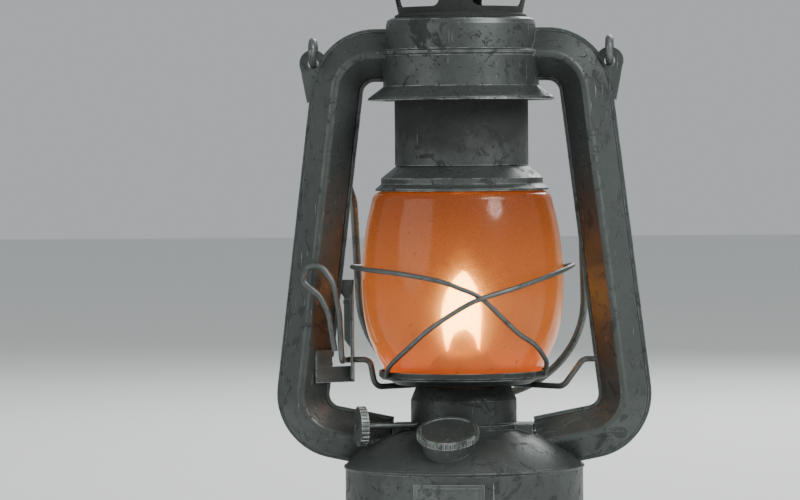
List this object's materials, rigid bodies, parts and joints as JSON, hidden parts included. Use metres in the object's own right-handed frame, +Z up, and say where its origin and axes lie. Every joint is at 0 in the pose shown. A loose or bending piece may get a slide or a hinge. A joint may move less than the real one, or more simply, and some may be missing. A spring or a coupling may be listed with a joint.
{
  "type": "barn lantern",
  "caption": "Small tubular oil lantern with pressed side tubes, amber globe in wire guards, lift lever, sliding chimney, vent cap, wire bail and round tank.",
  "frame": {"origin": "centre of the tank's flat underside", "axes": "+Z up, +X to the lantern's right side seen from the front, the filler cap faces -Y"},
  "size_m": [0.1504, 0.1133, 0.261],
  "materials": {
    "tank_metal": "worn, darkened tinned sheet",
    "tube_metal": "worn, darkened tinned sheet with pits",
    "crown_metal": "worn, darkened tinned sheet",
    "drum_metal": "dark, oily sheet",
    "soot_metal": "sooted sheet",
    "collar_metal": "sooted sheet with bare beads",
    "cap_metal": "worn knurled sheet",
    "label_metal": "bare embossed plate",
    "bracket_metal": "worn strap",
    "steel_wire": "dark drawn wire",
    "bail_wire": "dark drawn wire",
    "amber_glass": "smoky amber blown glass",
    "burner_brass": "heat-stained brass",
    "wick_cotton": "woven cotton, charred at the top",
    "gasket_cork": "oil-soaked washer"
  },
  "bodies": {
    "frame": {"tank_shell": "tank_metal", "tank_bottom": "tank_metal", "filler_neck": "tank_metal", "label_plate": "label_metal", "right_tube_front": "tube_metal", "right_tube_back": "tube_metal", "left_tube_front": "tube_metal", "left_tube_back": "tube_metal", "air_ducts": "tube_metal", "burner_drum": "drum_metal", "tank_collar": "burner_brass", "burner_body": "burner_brass", "burner_cone": "burner_brass", "wick_tube": "burner_brass", "lever_bracket": "bracket_metal", "bracket_rivet": "bracket_metal", "crown_shell": "crown_metal", "crown_sleeve": "crown_metal", "vent_cap": "soot_metal", "chimney_spring": "steel_wire"},
    "cap_carrier": {"filler_gasket": "gasket_cork"},
    "filler_cap": {"filler_cap": "cap_metal"},
    "lift_lever": {"lift_lever": "steel_wire"},
    "globe_carrier": {"globe_plate": "drum_metal", "globe": "amber_glass", "guard_wire_a": "steel_wire", "guard_wire_b": "steel_wire"},
    "chimney": {"chimney_tube": "soot_metal", "chimney_collar": "collar_metal", "chimney_spider": "soot_metal", "lift_rod": "steel_wire"},
    "finger_ring": {"finger_ring": "steel_wire"},
    "bail": {"bail": "bail_wire"},
    "wick_drive": {"wick_shaft": "steel_wire", "spur_wheels": "burner_brass", "wick_knob": "cap_metal"},
    "wick": {"wick": "wick_cotton"}
  },
  "joints": [
    {"name": "lift_lever", "type": "hinge", "parent": "frame", "child": "lift_lever", "pos_m": [0, 0, 0.086], "axis": [1, 0, 0], "range_deg": [0, 37]},
    {"name": "globe_lift", "type": "slide", "parent": "frame", "child": "globe_carrier", "axis": [0, 0, 1], "range_m": [0, 0.01575]},
    {"name": "chimney_lift", "type": "slide", "parent": "globe_carrier", "child": "chimney", "axis": [0, 0, 1], "range_m": [0, 0.012], "stiffness_N_per_m": 120, "springref_m": -0.015, "deforming": ["chimney_spring"]},
    {"name": "finger_ring", "type": "hinge", "parent": "chimney", "child": "finger_ring", "pos_m": [0, 0, 0.2576], "axis": [1, 0, 0], "range_deg": [0, 205]},
    {"name": "bail", "type": "hinge", "parent": "frame", "child": "bail", "pos_m": [0, 0, 0.2092], "axis": [1, 0, 0], "range_deg": [0, 290]},
    {"name": "cap_slide", "type": "slide", "parent": "frame", "child": "cap_carrier", "axis": [0, -0.3746, 0.9272], "range_m": [0, 0.0046]},
    {"name": "cap_turn", "type": "hinge", "parent": "cap_carrier", "child": "filler_cap", "pos_m": [-0.0034, -0.037, 0.0602], "axis": [0, -0.3746, 0.9272], "range_deg": [0, 720]},
    {"name": "wick_turn", "type": "hinge", "parent": "frame", "child": "wick_drive", "pos_m": [0.00161, -0.00494, 0.0604], "axis": [0.9511, 0.309, 0], "range_deg": [-84, 56]},
    {"name": "wick_slide", "type": "slide", "parent": "frame", "child": "wick", "axis": [0, 0, 1], "range_m": [-0.006, 0.004]}
  ],
  "couplings": [
    {"joint": "lift_lever", "follows": "globe_lift", "rad_per_m": 40.95},
    {"joint": "cap_turn", "follows": "cap_slide", "rad_per_m": 2731},
    {"joint": "wick_turn", "follows": "wick_slide", "rad_per_m": 243.9}
  ]
}
